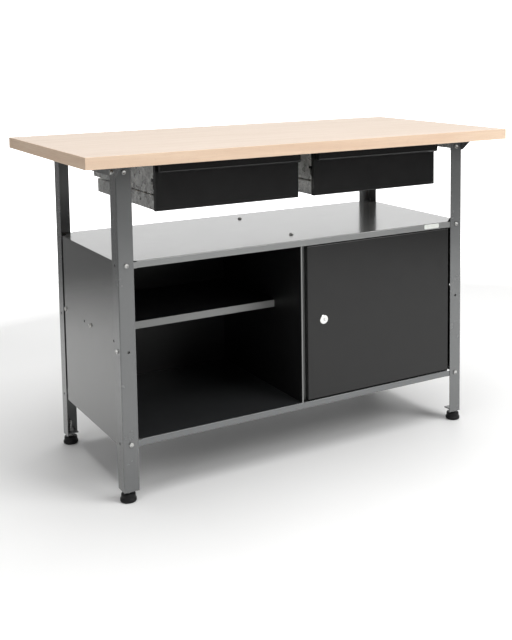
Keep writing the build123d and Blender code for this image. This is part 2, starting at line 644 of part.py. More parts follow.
def lock_body():
    """Threaded barrel with a bezel that stands on the door."""
    seat = (LOCK_X, DOOR_FRONT, LOCK_Z)
    bezel = rod(LOCK_BEZEL_RADIUS, seat, (0, -1, 0), LOCK_BEZEL)
    bezel = chamfer(bezel.edges().sort_by(Axis.Y)[:1], 0.4 * LOCK_BEZEL)
    barrel = rod(LOCK_BARREL_RADIUS, seat, (0, 1, 0), STRIKE_BACK - DOOR_FRONT - 2 * SHEET)
    bore = rod(PLUG_RADIUS, (LOCK_X, DOOR_FRONT - LOCK_BEZEL - PAST, LOCK_Z), (0, 1, 0), 2 * DOOR_THICKNESS)
    return bezel + barrel - bore


def lock_nut():
    seat = (LOCK_X, DOOR_FRONT + SHEET, LOCK_Z)
    return hex_nut(seat, (0, 1, 0), LOCK_NUT_ACROSS, LOCK_BARREL_RADIUS, LOCK_NUT_HEIGHT)


def lock_cylinder():
    """Plug with a key slot in front and a square for the cam behind."""
    front = DOOR_FRONT - PLUG_STANDS_OUT
    plug = rod(PLUG_RADIUS - RUNNING, (LOCK_X, front, LOCK_Z), (0, 1, 0), CAM_FRONT - front)
    width, height, depth = KEY_SLOT
    slot = about_lock(width, height, front - PAST, front + depth)
    screw_end = (LOCK_X, CAM_FRONT + CAM_THICKNESS - CAM_SCREW_LENGTH, LOCK_Z)
    screw_hole = rod(CAM_SCREW_RADIUS, screw_end, (0, 1, 0), CAM_SCREW_LENGTH + PAST)
    square = about_lock(CAM_SQUARE, CAM_SQUARE, CAM_FRONT, CAM_FRONT + CAM_THICKNESS)
    return plug + square - slot - screw_hole


def about_lock(width, height, y0, y1):
    """Block centred on the lock's axis."""
    x = (LOCK_X - width / 2, LOCK_X + width / 2)
    return block(*x, y0, y1, LOCK_Z - height / 2, LOCK_Z + height / 2)


def lock_cam():
    """Arm that hangs down when the door is free and points at the strike when it is locked."""
    half = CAM_WIDTH / 2
    arm = Pos(LOCK_X, LOCK_Z - (CAM_LENGTH - half) / 2) * SlotOverall(CAM_LENGTH + half, CAM_WIDTH, 90)
    plate = along_y(arm, CAM_FRONT, CAM_FRONT + CAM_THICKNESS)
    return plate - about_lock(CAM_SQUARE, CAM_SQUARE, CAM_FRONT - PAST, CAM_FRONT + CAM_THICKNESS + PAST)


def cam_screw():
    seat = (LOCK_X, CAM_FRONT + CAM_THICKNESS, LOCK_Z)
    radius, height = CAM_SCREW_HEAD
    return rod(radius, seat, (0, 1, 0), height) + rod(CAM_SCREW_RADIUS, seat, (0, -1, 0), CAM_SCREW_LENGTH)


# ---------------------------------------------------------------- drawers

def casing(web, inward):
    """Plate of a right-hand drawer's casing. The web hangs from the tabletop, the track at its foot
    carries the drawer's rear roller, and the front fold is notched for the drawer's runner."""
    front = CASING_FRONT
    skin = [
        (web + inward * CASING_TRACK, TRACK_BOTTOM),
        (web, TRACK_BOTTOM),
        (web, TOP_UNDERSIDE),
        (web + inward * CASING_FLANGE, TOP_UNDERSIDE),
    ]
    plate = along_y(folded(skin, -inward * CASING_SHEET), front, CASING_REAR)
    fold_x = (web + inward * CASING_SHEET / 2, web + inward * (CASING_SHEET + CASING_FOLD))
    plate += block(*fold_x, front, front + CASING_SHEET, TRACK_TOP, TOP_UNDERSIDE - CASING_SHEET)
    notch_x = (web - inward * PAST, web + inward * (CASING_SHEET + CASING_FOLD + PAST))
    notch_z = (RUNNER_Z - 3 * CASING_SHEET, RUNNER_Z + 10 * CASING_SHEET)
    plate -= block(*notch_x, front - PAST, front + RUNNER_REACH, *notch_z)
    plate -= rod(AXLE_RADIUS, (web - inward, CASING_ROLLER_Y, ROLLER_Z), (inward, 0, 0), THROUGH)
    return drill_for_screws(plate, TOP_UNDERSIDE - CASING_SHEET, CASING_SHEET)


def casing_axles():
    axles = []
    for web, inward in zip(CASING_WEBS, (1, -1)):
        start = (web, CASING_ROLLER_Y, ROLLER_Z)
        length = CASING_SHEET + ROLLER_SIDE_GAP + ROLLER_WIDTH + ROLLER_END_GAP
        head = (web + inward * length, CASING_ROLLER_Y, ROLLER_Z)
        axle = rod(AXLE_RADIUS, start, (inward, 0, 0), length)
        axle += rod(AXLE_HEAD_RADIUS, head, (inward, 0, 0), AXLE_HEAD)
        axles += [axle, flip_x(axle)]
    return group(axles)


def roller(x0, y):
    bore = AXLE_RADIUS + RUNNING
    wheel = ring(ROLLER_RADIUS, bore, (x0, y, ROLLER_Z), (1, 0, 0), ROLLER_WIDTH)
    rims = wheel.edges().filter_by(GeomType.CIRCLE).filter_by(lambda e: e.radius > AXLE_HEAD_RADIUS)
    return fillet(rims, ROLLER_ROUND)


def casing_rollers():
    near, far = CASING_WEBS
    gap = CASING_SHEET + ROLLER_SIDE_GAP
    return group([roller(near + gap, CASING_ROLLER_Y), roller(far - gap - ROLLER_WIDTH, CASING_ROLLER_Y)])


def box_walls():
    """Outer faces of the drawer box's upper walls."""
    near, far = CASING_WEBS
    return near + CASING_SHEET + RUNNER_SPACE, far - CASING_SHEET - RUNNER_SPACE


def drawer_box():
    """Right-hand box: a wide tub with a ledge on each side, narrower walls above it and a runner
    along each wall."""
    near, far = CASING_WEBS
    left, right = box_walls()
    top = DRAWER_BOTTOM + DRAWER_WALL_TOP
    skin = [(left, top), (left, TUB_TOP), (near, TUB_TOP), (near, DRAWER_BOTTOM)]
    skin += [(far, DRAWER_BOTTOM), (far, TUB_TOP), (right, TUB_TOP), (right, top)]
    box = along_y(folded(skin, SHEET), BOX_FRONT, BOX_REAR)
    inner = SHEET / 2
    end_wall = polygon([
        (left + inner, top), (left + inner, TUB_TOP - inner), (near + inner, TUB_TOP - inner),
        (near + inner, DRAWER_BOTTOM + inner), (far - inner, DRAWER_BOTTOM + inner),
        (far - inner, TUB_TOP - inner), (right - inner, TUB_TOP - inner), (right - inner, top),
    ])
    box += along_y(end_wall, BOX_FRONT, BOX_FRONT + SHEET)
    box += along_y(end_wall, BOX_REAR - SHEET, BOX_REAR)
    for wall, outward in ((left, -1), (right, 1)):
        runner = (wall - outward * inner, wall + outward * RUNNER_REACH, BOX_FRONT, BOX_REAR)
        box += block(*runner, RUNNER_Z, RUNNER_Z + CASING_SHEET)
        hole = (wall + outward, DRAWER_ROLLER_Y, ROLLER_Z)
        box -= rod(AXLE_RADIUS, hole, (-outward, 0, 0), THROUGH)
    for seat, axis in drawer_screw_places():
        box -= rod(SCREW_RADIUS, seat, axis, 2 * SHEET)
    hole = (far + PAST, BOX_FRONT + SIDE_HOLE_SETBACK, DRAWER_BOTTOM + SIDE_HOLE_RISE)
    return box - rod(SIDE_HOLE_RADIUS, hole, (-1, 0, 0), THROUGH)


def drawer_screw_places():
    """Seats inside the box for the screws that hold the drawer front."""
    left, right = box_walls()
    places = []
    for x in (left + FRONT_SCREW_INSET, right - FRONT_SCREW_INSET):
        for rise in FRONT_SCREW_RISES:
            places.append(((x, BOX_FRONT + SHEET, DRAWER_BOTTOM + rise), (0, -1, 0)))
    return places


def drawer_screws():
    return group([pan_screw(seat, axis, 2 * SHEET, 3) for seat, axis in drawer_screw_places()])


def drawer_front():
    """Folded front whose top edge turns forward and down as a grip, open underneath. A finger at
    each end guides it past its casing."""
    x0 = DRAWER_CENTRE - DRAWER_WIDTH / 2
    x1 = DRAWER_CENTRE + DRAWER_WIDTH / 2
    top = DRAWER_BOTTOM + DRAWER_FRONT_HEIGHT
    curl_y, curl_z = GRIP_CURL
    lip_y = DRAWER_FRONT - GRIP_REACH + SHEET
    lip_z = top - GRIP_DROP + curl_z + SHEET
    low_z = lip_z - curl_z
    skin = [
        (BOX_FRONT, DRAWER_BOTTOM),
        (DRAWER_FRONT, DRAWER_BOTTOM),
        (DRAWER_FRONT, top - SHEET),
        (lip_y, top - SHEET),
        (lip_y, lip_z),
        (lip_y + curl_y, low_z),
    ]
    front = along_x(folded(skin, -SHEET, GRIP_BEND), x0, x1)
    for end, inward in ((x0, 1), (x1, -1)):
        lip_end = end + inward * GRIP_INSET
        grip_y = (DRAWER_FRONT - GRIP_REACH - PAST, DRAWER_FRONT)
        front -= block(end - inward, lip_end, *grip_y, DRAWER_BOTTOM, top + PAST)
        cap = [(DRAWER_FRONT + SHEET / 2, top - SHEET / 2), (lip_y, top - SHEET / 2), (lip_y, lip_z)]
        cap += [(lip_y + curl_y, low_z), (DRAWER_FRONT + SHEET / 2, low_z)]
        front += along_x(polygon(cap), *sorted((lip_end, lip_end + inward * SHEET)))
        side = (end, end + inward * SHEET)
        front += block(*side, DRAWER_FRONT + SHEET, BOX_FRONT, DRAWER_BOTTOM + SHEET / 2, top - 2 * SHEET)
        finger_z = DRAWER_BOTTOM + FINGER_RISE
        finger_y = (BOX_FRONT - SHEET, BOX_FRONT + FINGER_LENGTH)
        front += block(*side, *finger_y, finger_z, finger_z + FINGER_HEIGHT)
        tab = (end, end + inward * FRONT_TAB_WIDTH, BOX_FRONT - SHEET, BOX_FRONT)
        front += block(*tab, DRAWER_BOTTOM + FRONT_TAB_LOW, top - FRONT_TAB_HIGH)
    for seat, axis in drawer_screw_places():
        front -= rod(SCREW_RADIUS, seat, axis, THROUGH)
    return front


def drawer_axles():
    axles = []
    for wall, outward in zip(box_walls(), (-1, 1)):
        start = (wall - outward * SHEET, DRAWER_ROLLER_Y, ROLLER_Z)
        length = SHEET + ROLLER_SIDE_GAP + ROLLER_WIDTH + ROLLER_END_GAP
        axle = rod(AXLE_RADIUS, start, (outward, 0, 0), length)
        head = (wall - outward * SHEET + outward * length, DRAWER_ROLLER_Y, ROLLER_Z)
        axles.append(axle + rod(AXLE_HEAD_RADIUS, head, (outward, 0, 0), AXLE_HEAD))
    return group(axles)


def drawer_rollers():
    left, right = box_walls()
    near = roller(left - ROLLER_SIDE_GAP - ROLLER_WIDTH, DRAWER_ROLLER_Y)
    return group([near, roller(right + ROLLER_SIDE_GAP, DRAWER_ROLLER_Y)])


# ---------------------------------------------------------------- levelling feet

def foot_pad():
    """Front right pad: a moulded disc that turns on the end of its stem."""
    rim = PAD_RADIUS
    waist = rim - PAD_WAIST
    bore = STEM_RADIUS + RUNNING
    section = [(0, 0), (rim - 2, 0), (rim, 2), (rim, 7), (waist, 7 + PAD_WAIST), (waist, PAD_HEIGHT - 2)]
    section += [(waist - 2, PAD_HEIGHT), (bore, PAD_HEIGHT), (bore, PAD_SOCKET), (0, PAD_SOCKET)]
    turned = revolve(Plane.XZ * polygon(section), Axis.Z)
    return Pos(FOOT_X, -FOOT_Y, 0) * turned


def foot_stem():
    """Threaded rod with a hexagon for the spanner just above the pad."""
    low = PAD_SOCKET + PAD_GAP
    stem = rod(STEM_RADIUS, (FOOT_X, -FOOT_Y, low), (0, 0, 1), STEM_TOP - low)
    seat = (FOOT_X, -FOOT_Y, PAD_HEIGHT + PAD_GAP)
    return stem + hexagon(STEM_ACROSS_FLATS, seat, (0, 0, 1), STEM_HEXAGON)


def foot_brackets():
    """Square plates in the corners of the legs."""
    x = LEG_X - LEG_WALL
    y = -LEG_Y + LEG_WALL
    z = (BRACKET_BOTTOM, BRACKET_BOTTOM + FOOT_BRACKET_THICKNESS)
    plate = block(x, x - FOOT_BRACKET, y, y + FOOT_BRACKET, *z)
    outer_edge = plate.edges().filter_by(Axis.Z).sort_by(lambda e: e.center().X - e.center().Y)[-1:]
    plate = chamfer(outer_edge, 2 * LEG_WALL)
    plate -= rod(STEM_RADIUS + 0.5, (FOOT_X, -FOOT_Y, BRACKET_BOTTOM - PAST), (0, 0, 1), THROUGH + PAST)
    return group(four_corners(plate))


def foot_nuts():
    seat = (FOOT_X, -FOOT_Y, BRACKET_BOTTOM + FOOT_BRACKET_THICKNESS)
    nut = hex_nut(seat, (0, 0, 1), STEM_ACROSS_FLATS, STEM_RADIUS, STEM_NUT_HEIGHT)
    return group(four_corners(nut))


def four_corners(shape):
    """Front right, front left, rear right and rear left copies."""
    return [shape, flip_x(shape), flip_y(shape), flip_x(flip_y(shape))]


# ---------------------------------------------------------------- the nodes

CORNERS = ("front_right", "front_left", "rear_right", "rear_left")

nodes = {
    "tabletop": tabletop(),
    "edge_bands": edge_bands(),
    "tabletop_screws": tabletop_screws(),
    "rear_rail": rear_rail(),
    "corner_brackets": corner_brackets(),
    "crosspiece_right": crosspiece(),
    "crosspiece_left": flip_x(crosspiece()),
    "frame_bolts": bolts(frame_bolt_places()),
    "frame_nuts": nuts(frame_bolt_places()),
    "top_tray": top_tray(),
    "bottom_tray": bottom_tray(),
    "side_panel_right": side_panel(),
    "side_panel_left": flip_x(side_panel()),
    "back_panel": back_panel(),
    "divider": divider(),
    "inner_shelf": inner_shelf(),
    "cabinet_bolts": bolts(cabinet_bolt_places()),
    "cabinet_nuts": nuts(cabinet_bolt_places()),
    "door": door(),
    "hinge_pins": hinge_pins(),
    "hinge_bushes": hinge_bushes(),
    "lock_body": lock_body(),
    "lock_nut": lock_nut(),
    "lock_cylinder": lock_cylinder(),
    "lock_cam": lock_cam(),
    "cam_screw": cam_screw(),
    "casing_axles": casing_axles(),
    "foot_brackets": foot_brackets(),
    "foot_nuts": foot_nuts(),
}

for place, shape in zip(CORNERS, four_corners(leg())):
    nodes["leg_" + place] = shape
for place, shape in zip(CORNERS, four_corners(foot_pad())):
    nodes["foot_pad_" + place] = shape
for place, shape in zip(CORNERS, four_corners(foot_stem())):
    nodes["foot_stem_" + place] = shape

inner_web, outer_web = CASING_WEBS
right_drawer = {
    "casing_inner": casing(inner_web, 1),
    "casing_outer": casing(outer_web, -1),
    "casing_rollers": casing_rollers(),
    "drawer_box": drawer_box(),
    "drawer_front": drawer_front(),
    "drawer_screws": drawer_screws(),
    "drawer_axles": drawer_axles(),
    "drawer_rollers": drawer_rollers(),
}
for name, shape in right_drawer.items():
    nodes[name + "_right"] = shape
    nodes[name + "_left"] = flip_x(shape)

os.makedirs("parts", exist_ok=True)
for name, shape in nodes.items():
    export_step(shape, f"parts/{name}.step")
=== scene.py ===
import bmesh
import bpy
import math
from mathutils import Matrix, Vector


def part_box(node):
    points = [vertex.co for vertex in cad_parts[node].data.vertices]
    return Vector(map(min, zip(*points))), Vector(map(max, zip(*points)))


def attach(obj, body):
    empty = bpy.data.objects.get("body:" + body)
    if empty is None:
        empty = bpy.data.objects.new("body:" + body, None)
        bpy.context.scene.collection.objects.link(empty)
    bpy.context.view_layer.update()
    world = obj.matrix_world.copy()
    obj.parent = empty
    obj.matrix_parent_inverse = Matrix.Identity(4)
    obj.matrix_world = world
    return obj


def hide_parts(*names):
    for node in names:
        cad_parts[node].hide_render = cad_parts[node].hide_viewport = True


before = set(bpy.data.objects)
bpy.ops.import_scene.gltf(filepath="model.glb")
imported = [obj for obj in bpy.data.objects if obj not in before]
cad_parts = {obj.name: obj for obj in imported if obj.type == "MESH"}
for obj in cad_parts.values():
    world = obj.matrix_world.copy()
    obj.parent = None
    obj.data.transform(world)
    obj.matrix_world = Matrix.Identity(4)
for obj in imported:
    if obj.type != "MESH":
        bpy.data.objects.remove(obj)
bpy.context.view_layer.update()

# ---------------------------------------------------------------------------
# The studio: a pale matt floor that runs out into a white room with a bright
# backdrop behind the bench, a wide softbox overhead, one in front on the right
# and a weak one on the left. The camera sees the fronts and the left end.
# ---------------------------------------------------------------------------


def surface(name, colour, roughness, metallic=0.0):
    """A new material and its shader, with the plain values on the shader's own sockets."""
    material = bpy.data.materials.new(name)
    material.use_nodes = True
    shader = material.node_tree.nodes["Principled BSDF"]
    shader.inputs["Base Color"].default_value = (*colour, 1.0)
    shader.inputs["Roughness"].default_value = roughness
    shader.inputs["Metallic"].default_value = metallic
    return material, shader


def add(material, kind, inputs=None, **settings):
    """A node of a material. An input is a plain value or the socket that feeds it."""
    node = material.node_tree.nodes.new("ShaderNode" + kind)
    for key, value in settings.items():
        setattr(node, key, value)
    for key, value in (inputs or {}).items():
        if isinstance(value, bpy.types.NodeSocket):
            material.node_tree.links.new(value, node.inputs[key])
        else:
            node.inputs[key].default_value = value
    return node


def feed(material, socket, target):
    """Links one node's output to another's input."""
    material.node_tree.links.new(socket, target)


def place(material, scale):
    """Coordinates on the piece itself, in metres, stretched by a scale for each axis."""
    where = add(material, "TexCoord").outputs["Object"]
    return add(material, "Mapping", {"Vector": where, "Scale": scale}).outputs["Vector"]


def speckle(material, vector, size, detail=2.0, roughness=0.5, distortion=0.0):
    """Soft noise whose lumps are about the given size in metres."""
    settings = {
        "Vector": vector,
        "Scale": 1 / size,
        "Detail": detail,
        "Roughness": roughness,
        "Distortion": distortion,
    }
    return add(material, "TexNoise", settings).outputs["Fac"]


def between(material, value, from_low, from_high, to_low, to_high):
    """A value carried from one range into another, and kept inside it."""
    ranges = {
        "Value": value,
        "From Min": from_low,
        "From Max": from_high,
        "To Min": to_low,
        "To Max": to_high,
    }
    return add(material, "MapRange", ranges).outputs["Result"]


def blend_colours(material, amount, first, second):
    """The first colour where the amount is 0, the second where it is 1."""
    node = add(material, "Mix", data_type="RGBA")
    for socket, value in ((node.inputs[0], amount), (node.inputs[6], first), (node.inputs[7], second)):
        if isinstance(value, bpy.types.NodeSocket):
            feed(material, value, socket)
        else:
            socket.default_value = value if isinstance(value, float) else (*value, 1.0)
    return node.outputs[2]


def relief(material, height, depth):
    """A surface whose height of 0 to 1 stands for a depth in metres."""
    return add(material, "Bump", {"Height": height, "Distance": depth, "Strength": 1.0}).outputs["Normal"]


FLOOR_MIDDLE = (0.2, -0.6, 0.0)
FLOOR_RADIUS = 3.2
FLOOR_FADES_FROM = 2.1
FLOOR_FADES_TO = 3.1

floor_paint, floor_shader = surface("studio_floor", (0.88, 0.88, 0.875), 0.55)
mottle = speckle(floor_paint, place(floor_paint, (1, 1, 1)), 0.35, 3.0)
floor_colour = blend_colours(floor_paint, mottle, (0.86, 0.86, 0.855), (0.90, 0.90, 0.895))
feed(floor_paint, floor_colour, floor_shader.inputs["Base Color"])
on_floor = place(floor_paint, (1, 1, 1))
from_middle = add(floor_paint, "VectorMath", {0: on_floor}, operation="LENGTH").outputs["Value"]
fade = between(floor_paint, from_middle, FLOOR_FADES_FROM, FLOOR_FADES_TO, 1.0, 0.0)
feed(floor_paint, fade, floor_shader.inputs["Alpha"])

floor_mesh = bpy.data.meshes.new("studio_floor")
disc = bmesh.new()
bmesh.ops.create_circle(disc, cap_ends=True, segments=96, radius=FLOOR_RADIUS)
disc.to_mesh(floor_mesh)
disc.free()
floor = bpy.data.objects.new("studio_floor", floor_mesh)
floor.data.materials.append(floor_paint)
floor.location = FLOOR_MIDDLE
bpy.context.scene.collection.objects.link(floor)

BACKDROP_SIDE = (0.52, 0.85, 0.0)
ROOM_LIGHT = 0.18
BACKDROP_LIGHT = 1.10

room = bpy.data.worlds.new("white_room")
room.use_nodes = True
room.node_tree.nodes["Background"].inputs["Color"].default_value = (1.0, 1.0, 1.0, 1.0)
towards = add(room, "TexCoord").outputs["Generated"]
along_backdrop = {0: towards, 1: BACKDROP_SIDE}
facing_backdrop = add(room, "VectorMath", along_backdrop, operation="DOT_PRODUCT").outputs["Value"]
backdrop = between(room, facing_backdrop, 0.70, 0.92, ROOM_LIGHT, BACKDROP_LIGHT)
looked_at = add(room, "LightPath").outputs["Is Camera Ray"]
brightness = add(room, "Math", {0: backdrop, 1: looked_at}, operation="ADD").outputs["Value"]
feed(room, brightness, room.node_tree.nodes["Background"].inputs["Strength"])
bpy.context.scene.world = room


def lamp(name, place_at, aim, size, power):
    """A softbox of a width and height in metres, with its power in watts."""
    light = bpy.data.lights.new(name, "AREA")
    light.shape = "RECTANGLE"
    light.size, light.size_y = size
    light.energy = power
    holder = bpy.data.objects.new(name, light)
    holder.location = place_at
    holder.rotation_euler = (Vector(aim) - Vector(place_at)).to_track_quat("-Z", "Y").to_euler()
    bpy.context.scene.collection.objects.link(holder)


lamp("ceiling_softbox", (0.3, -0.8, 7.0), (0.3, -0.8, 0.0), (5.4, 7.0), 490)
lamp("front_softbox", (1.9, -3.0, 2.7), (0.1, 0.0, 0.5), (2.4, 1.8), 85)
lamp("left_softbox", (-3.2, -1.2, 1.9), (-0.2, 0.0, 0.5), (1.6, 1.6), 14)

CAMERA_AT = (-1.3211, -2.4063, 1.0702)
CAMERA_TURN = 0.5486
CAMERA_TILT = -0.1046
CAMERA_ROLL = -0.0096
LENS_MM = 57.34
SHIFT = (-0.0844, -0.2656)

forward = Vector((
    math.sin(CAMERA_TURN) * math.cos(CAMERA_TILT),
    math.cos(CAMERA_TURN) * math.cos(CAMERA_TILT),
    math.sin(CAMERA_TILT),
))
level = Vector((math.cos(CAMERA_TURN), -math.sin(CAMERA_TURN), 0.0))
upright = level.cross(forward)
right = level * math.cos(CAMERA_ROLL) + upright * math.sin(CAMERA_ROLL)
up = upright * math.cos(CAMERA_ROLL) - level * math.sin(CAMERA_ROLL)
camera = bpy.data.objects.new("camera", bpy.data.cameras.new("camera"))
camera.data.lens = LENS_MM
camera.data.shift_x, camera.data.shift_y = SHIFT
camera.data.clip_end = 60.0
camera.matrix_world = Matrix.Translation(CAMERA_AT) @ Matrix((right, up, -forward)).transposed().to_4x4()
bpy.context.scene.collection.objects.link(camera)
bpy.context.scene.camera = camera
bpy.context.scene.view_settings.view_transform = "Standard"

# ---------------------------------------------------------------------------
# Levelling feet: a moulded black pad on a plated M8 stem. The pad's foot is
# ribbed for the fingers; the stem has a rolled thread of 1.25 mm and a hexagon.
# ---------------------------------------------------------------------------

CORNERS = ("front_right", "front_left", "rear_right", "rear_left")


def new_piece(name, mesh, material, body, slot, *stands_for, smooth_angle=35):
    """Turns a bmesh into a piece on a body, in place of the CAD nodes that it stands for."""
    data = bpy.data.meshes.new(name)
    bmesh.ops.recalc_face_normals(mesh, faces=mesh.faces)
    for face in mesh.faces:
        face.smooth = True
    for edge in mesh.edges:
        if len(edge.link_faces) == 2 and edge.calc_face_angle(0.0) > math.radians(smooth_angle):
            edge.smooth = False
    mesh.to_mesh(data)
    mesh.free()
    data.materials.append(material)
    piece = bpy.data.objects.new(name, data)
    bpy.context.scene.collection.objects.link(piece)
    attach(piece, body)
    if stands_for:
        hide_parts(*stands_for)


def turned(mesh, centre, axis, rings, segments):
    """A closed turned form. Each ring is (distance along the axis, radius at an angle)."""
    axis = Vector(axis).normalized()
    side = axis.orthogonal().normalized()
    other = axis.cross(side)
    rows = []
    for along, radius in rings:
        row = []
        for i in range(segments):
            angle = 2 * math.pi * i / segments
            r = radius(angle) if callable(radius) else radius
            offset = (side * math.cos(angle) + other * math.sin(angle)) * r
            row.append(mesh.verts.new(Vector(centre) + axis * along + offset))
        rows.append(row)
    for low, high in zip(rows, rows[1:]):
        for i in range(segments):
            j = (i + 1) % segments
            mesh.faces.new((low[i], low[j], high[j], high[i]))
    mesh.faces.new(rows[0][::-1])
    mesh.faces.new(rows[-1])
    return mesh


def hexagonal(flats):
    """The radius of a hexagon at an angle, from its width across flats."""
    return lambda angle: flats / 2 / math.cos((angle % (math.pi / 3)) - math.pi / 6)


def capped(shape, radius):
    """A shape whose corners are turned down to a radius."""
    return lambda angle: min(shape(angle), radius)


RIBS = 30
RIB_DEPTH = 0.0006
STEM_RADIUS = 0.004
STEM_HEXAGON = (0.0140, 0.0180)
THREAD_PITCH = 0.00125
THREAD_DEPTH = 0.00065
STEPS_PER_TURN = 6
STEM_SIDES = 24

pad_plastic, pad_shader = surface("moulded_black_plastic", (0.008, 0.008, 0.009), 0.42)
pad_shader.inputs["Specular IOR Level"].default_value = 0.25
grain = speckle(pad_plastic, place(pad_plastic, (1, 1, 1)), 0.0007, 3.0)
feed(pad_plastic, relief(pad_plastic, grain, 0.00006), pad_shader.inputs["Normal"])
scuffs = speckle(pad_plastic, place(pad_plastic, (1, 1, 3)), 0.006, 4.0, 0.6)
feed(pad_plastic, between(pad_plastic, scuffs, 0.35, 0.7, 0.36, 0.58), pad_shader.inputs["Roughness"])
dust = between(pad_plastic, scuffs, 0.5, 0.8, 0.0, 0.5)
pad_colour = blend_colours(pad_plastic, dust, (0.007, 0.007, 0.0075), (0.030, 0.029, 0.028))
feed(pad_plastic, pad_colour, pad_shader.inputs["Base Color"])

bright_zinc, zinc_shader = surface("bright_zinc_plating", (0.60, 0.60, 0.58), 0.28, 1.0)
clouding = speckle(bright_zinc, place(bright_zinc, (1, 1, 1)), 0.0025, 4.0, 0.6)
feed(bright_zinc, between(bright_zinc, clouding, 0.3, 0.7, 0.18, 0.42), zinc_shader.inputs["Roughness"])
zinc_colour = blend_colours(bright_zinc, clouding, (0.48, 0.49, 0.50), (0.70, 0.69, 0.65))
feed(bright_zinc, zinc_colour, zinc_shader.inputs["Base Color"])
pitting = speckle(bright_zinc, place(bright_zinc, (1, 1, 1)), 0.0006, 2.0)
feed(bright_zinc, relief(bright_zinc, pitting, 0.00002), zinc_shader.inputs["Normal"])

for corner in CORNERS:
    low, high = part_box("foot_pad_" + corner)
    reach = (high.x - low.x) / 2
    height = high.z - low.z
    centre = ((low.x + high.x) / 2, (low.y + high.y) / 2, low.z)
    waist = reach * 0.90

    def ribbed(angle, reach=reach):
        return reach - RIB_DEPTH * (0.5 - 0.5 * math.cos(angle * RIBS)) ** 2

    profile = [
        (0.0, reach * 0.86),
        (0.0006, reach * 0.91),
        (0.0016, lambda a, f=ribbed: f(a) - 0.0004),
        (0.0026, ribbed),
        (0.0072, ribbed),
        (0.0080, lambda a, f=ribbed: f(a) - 0.0003),
        (0.0090, reach * 0.945),
        (0.0100, waist),
        (height * 0.62, waist * 0.985),
        (height * 0.86, waist * 0.97),
        (height * 0.95, waist * 0.94),
        (height * 0.99, waist * 0.88),
        (height, waist * 0.80),
        (height - 0.0002, reach * 0.36),
        (height - 0.0014, reach * 0.34),
        (height - 0.0015, 0.0046),
    ]
    pad = turned(bmesh.new(), centre, (0, 0, 1), profile, RIBS * 4)
    body = "foot_" + corner
    new_piece("levelling_pad_" + corner, pad, pad_plastic, body, "black_plastic", "foot_pad_" + corner)

    low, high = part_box("foot_stem_" + corner)
    flats = min(high.x - low.x, high.y - low.y)
    base = ((low.x + high.x) / 2, (low.y + high.y) / 2, low.z)
    hexagon_low, hexagon_high = STEM_HEXAGON
    length = high.z - low.z

    def thread(angle, along, top=length):
        lead = min(1.0, (top - along) / 0.0015)
        phase = (along / THREAD_PITCH - angle / (2 * math.pi)) % 1.0
        return STEM_RADIUS * (0.80 + 0.20 * lead) - THREAD_DEPTH * abs(2 * phase - 1) * lead

    six = hexagonal(flats)
    eased = capped(six, flats * 0.53)
    rings = [
        (0.0, STEM_RADIUS * 0.8),
        (0.0008, STEM_RADIUS),
        (hexagon_low, STEM_RADIUS),
        (hexagon_low, flats * 0.44),
        (hexagon_low + 0.0004, eased),
        (hexagon_low + 0.0008, six),
        (hexagon_high - 0.0008, six),
        (hexagon_high - 0.0004, eased),
        (hexagon_high, flats * 0.44),
        (hexagon_high, STEM_RADIUS * 0.84),
    ]
    steps = int((length - hexagon_high) / THREAD_PITCH * STEPS_PER_TURN)
    first_along = hexagon_high + 0.0004
    for i in range(steps + 1):
        along = first_along + (length - first_along) * i / steps
        rings.append((along, lambda a, along=along, f=thread: f(a, along)))
    stem = turned(bmesh.new(), base, (0, 0, 1), rings, STEM_SIDES)
    body = "stem_" + corner
    new_piece("threaded_stem_" + corner, stem, bright_zinc, body, "bright_zinc", "foot_stem_" + corner)

# ---------------------------------------------------------------------------
# Legs and top frame: angles folded from 1.5 mm sheet steel, sprayed with a grey
# metallic enamel after folding, and bolted together. The paint has a fine orange
# peel, thins at the folds and carries light scuffs.
# ---------------------------------------------------------------------------


